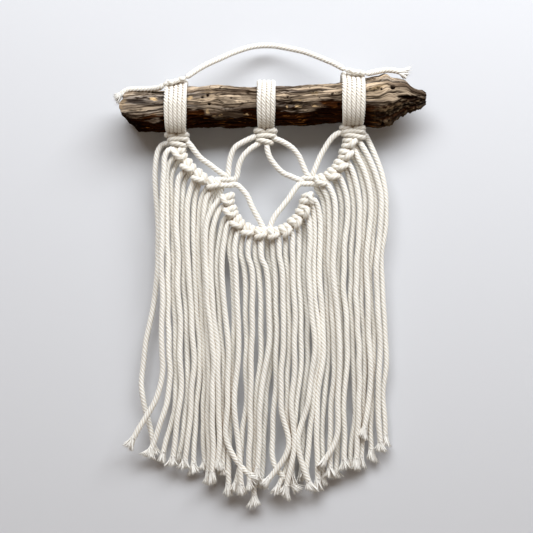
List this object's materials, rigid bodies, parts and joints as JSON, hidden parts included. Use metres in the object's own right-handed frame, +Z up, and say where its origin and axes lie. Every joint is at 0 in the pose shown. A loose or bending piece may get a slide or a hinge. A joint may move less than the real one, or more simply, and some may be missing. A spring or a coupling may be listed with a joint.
{
  "type": "macrame wall hanging on a driftwood branch",
  "caption": "Hand-knotted cotton macrame wall hanging: swags of half-hitch knots with a long rope fringe, tied to a driftwood branch that hangs by one knotted cord.",
  "frame": {"origin": "underside of the hanger cord at its highest point, where a nail or hook bears", "axes": "+X to the viewer's right along the branch, +Z up, -Y towards the viewer, so the wall is at +Y"},
  "size_m": [0.2465, 0.0473, 0.3722],
  "materials": {
    "driftwood": "matt, weathered",
    "cotton": "undyed three-ply cotton rope"
  },
  "bodies": {
    "root": {"driftwood_branch": "driftwood", "strap_left": "cotton", "strap_middle": "cotton", "strap_right": "cotton", "swag_left": "cotton", "swag_right": "cotton", "swag_lower": "cotton", "hanger_arch": "cotton", "hanger_knot_left": "cotton", "hanger_knot_right": "cotton", "hanger_tail_left": "cotton", "hanger_tail_right": "cotton"}
  },
  "joints": []
}
